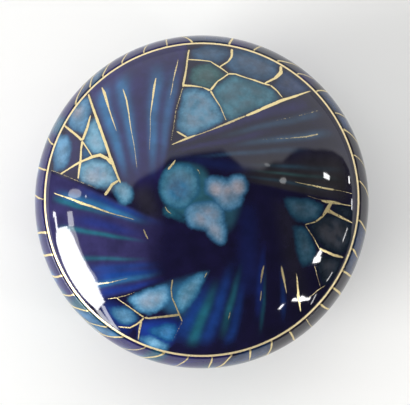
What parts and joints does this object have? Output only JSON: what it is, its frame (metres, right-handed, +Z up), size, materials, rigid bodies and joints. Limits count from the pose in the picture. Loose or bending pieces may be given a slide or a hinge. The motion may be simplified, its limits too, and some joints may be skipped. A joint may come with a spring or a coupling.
{
  "type": "bonbonniere",
  "caption": "Squat round covered box for sweets: a glazed ceramic bowl on a foot ring, with a collar that keeps its loose domed lid in place.",
  "frame": {"origin": "centre of the foot ring's underside, on the surface that the box stands on", "axes": "+Z up along the turning axis; X and Y are free, because the form is round"},
  "size_m": [0.12, 0.12, 0.06],
  "materials": {
    "bowl_glaze": "glossy cobalt blue glaze with painted bands and fine gilded lines, bare biscuit where it stands",
    "lid_glaze": "glossy cobalt and turquoise glaze with fine gilded lines and a gilded rim, plain blue glaze inside"
  },
  "bodies": {
    "root": {"bowl": "bowl_glaze", "lid": "lid_glaze"}
  },
  "joints": []
}
